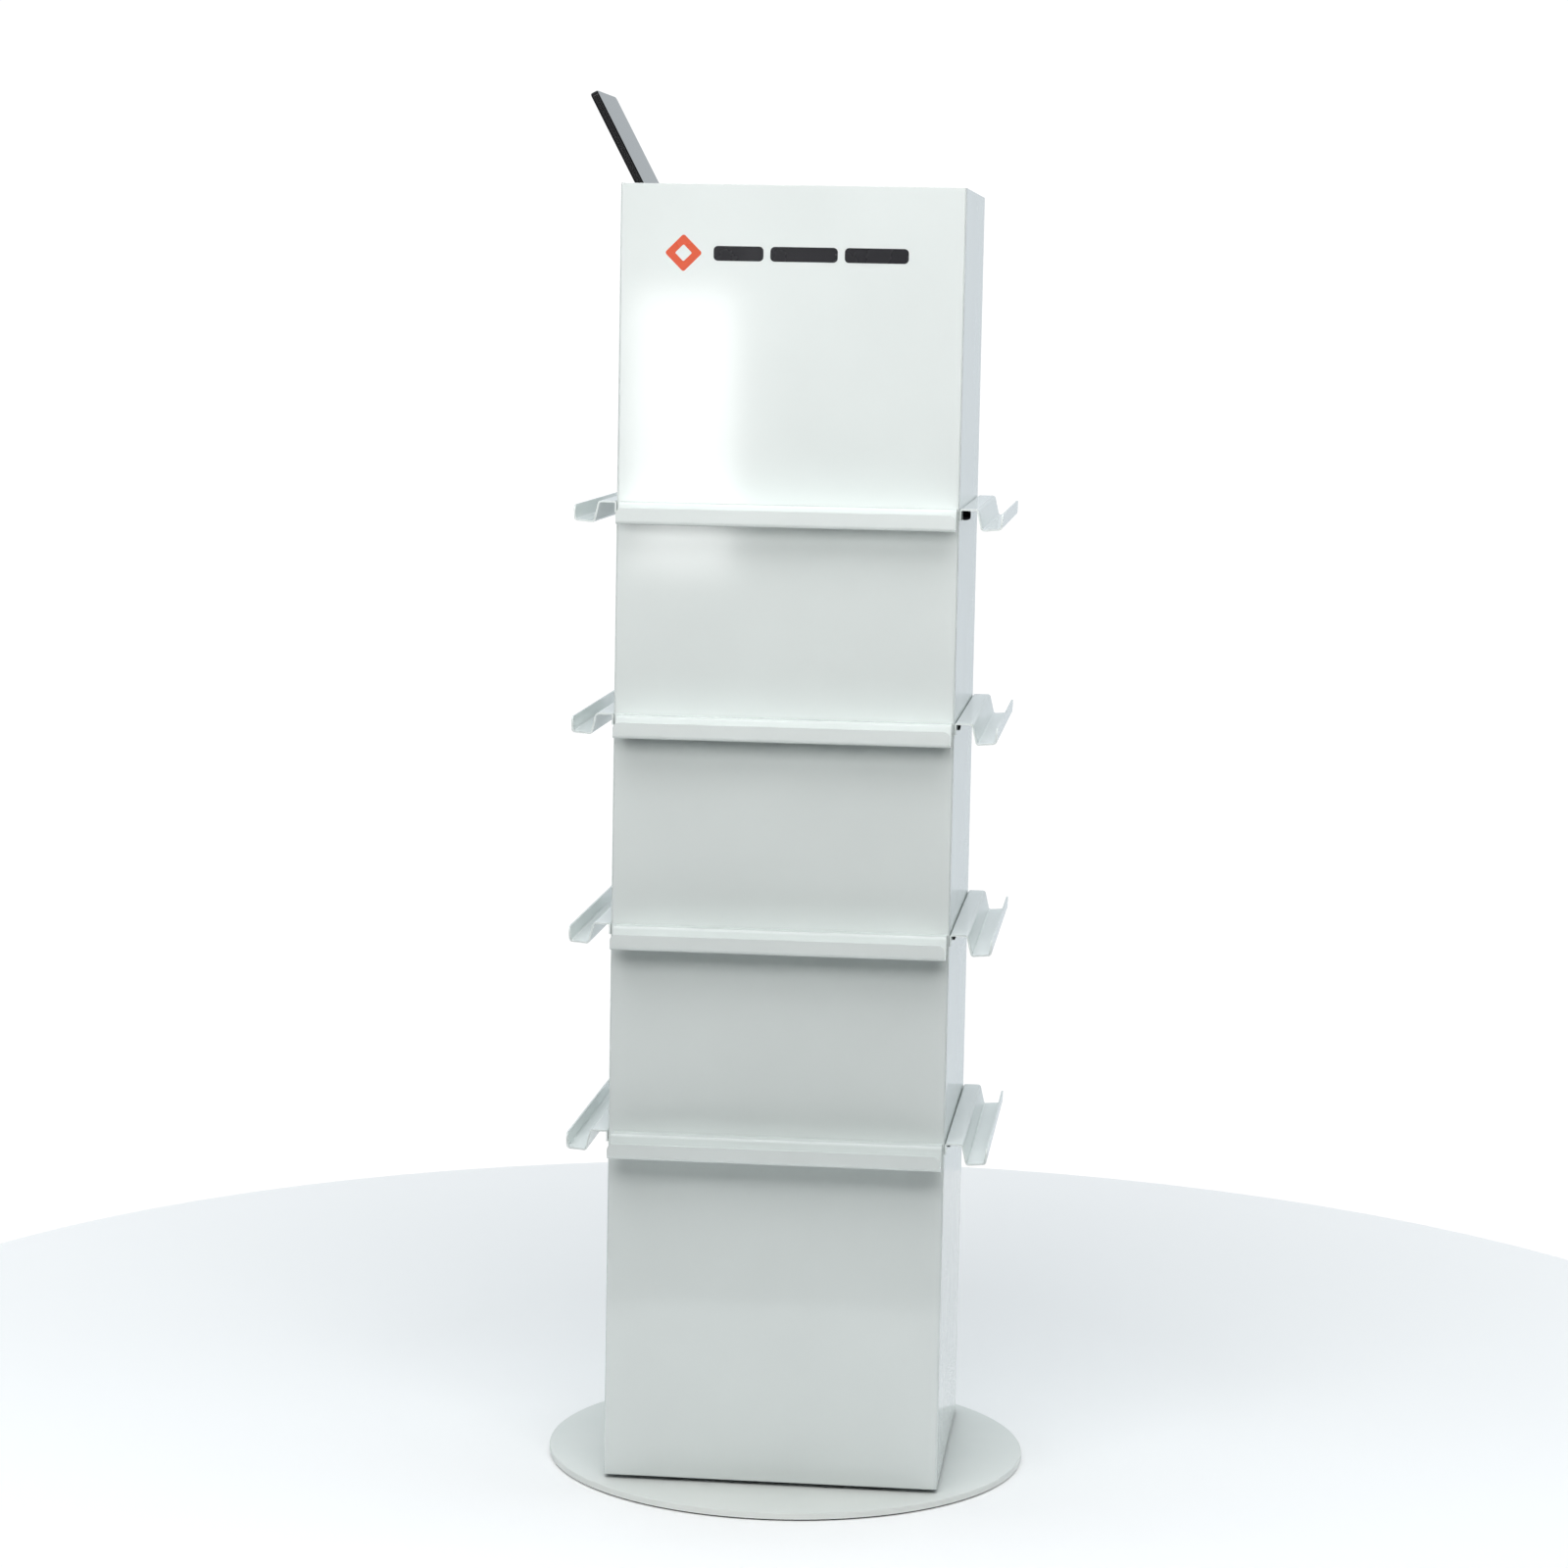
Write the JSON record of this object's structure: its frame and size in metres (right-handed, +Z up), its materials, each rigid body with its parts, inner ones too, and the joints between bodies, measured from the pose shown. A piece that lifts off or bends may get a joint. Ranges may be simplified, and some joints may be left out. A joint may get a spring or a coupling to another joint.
{
  "type": "spinner display tower",
  "caption": "Free-standing sheet-steel display tower that turns on a round floor plate, with folded gutter shelves on every side and a slim tilting screen in its open top.",
  "frame": {"origin": "middle of the round floor plate, on the floor", "axes": "+Z up along the turning axis, front face towards -Y, +X to the right seen from the front"},
  "size_m": [0.584, 0.584, 1.659],
  "materials": {
    "white_coat": "gloss white powder coat on steel sheet",
    "grey_coat": "satin pale grey powder coat on steel plate",
    "pad_rubber": "matt black rubber sheet",
    "zinc_steel": "zinc-plated steel",
    "pin_steel": "ground steel",
    "nylon": "natural nylon",
    "black_plastic": "smooth black moulded plastic",
    "display_panel": "dark display module, switched off",
    "screen_glass": "polished black-backed cover glass",
    "battery_foil": "foil pouch",
    "board": "green circuit board"
  },
  "bodies": {
    "base": {"base_pad": "pad_rubber", "base_plate": "grey_coat", "turntable_lower_race": "zinc_steel"},
    "ball_cage": {"turntable_ball_cage": "nylon"},
    "tower": {"turntable_upper_race": "zinc_steel", "floor_pan": "zinc_steel", "tower_wrap": "white_coat", "rear_panel": "white_coat", "inner_brace": "zinc_steel", "top_tray": "white_coat", "hinge_bracket": "zinc_steel", "hinge_pin": "pin_steel", "front_shelf_1": "white_coat", "front_shelf_2": "white_coat", "front_shelf_3": "white_coat", "front_shelf_4": "white_coat", "right_shelf_1": "white_coat", "right_shelf_2": "white_coat", "right_shelf_3": "white_coat", "right_shelf_4": "white_coat", "back_shelf_1": "white_coat", "back_shelf_2": "white_coat", "back_shelf_3": "white_coat", "back_shelf_4": "white_coat", "left_shelf_1": "white_coat", "left_shelf_2": "white_coat", "left_shelf_3": "white_coat", "left_shelf_4": "white_coat"},
    "screen": {"hinge_leaf": "zinc_steel", "screen_shell": "black_plastic", "screen_battery": "battery_foil", "screen_board": "board", "screen_panel": "display_panel", "screen_bezel": "black_plastic", "screen_glass": "screen_glass"}
  },
  "joints": [
    {"name": "tower_spin", "type": "hinge", "parent": "base", "child": "tower", "pos_m": [0, 0, 0.0149], "axis": [0, 0, 1], "continuous": true},
    {"name": "cage_spin", "type": "hinge", "parent": "base", "child": "ball_cage", "pos_m": [0, 0, 0.0149], "axis": [0, 0, 1], "continuous": true},
    {"name": "screen_tilt", "type": "hinge", "parent": "tower", "child": "screen", "pos_m": [-0.13349, 0, 1.4367], "axis": [0, 1, 0], "range_deg": [0, 113]}
  ],
  "couplings": [
    {"joint": "cage_spin", "follows": "tower_spin", "ratio": 0.5}
  ]
}
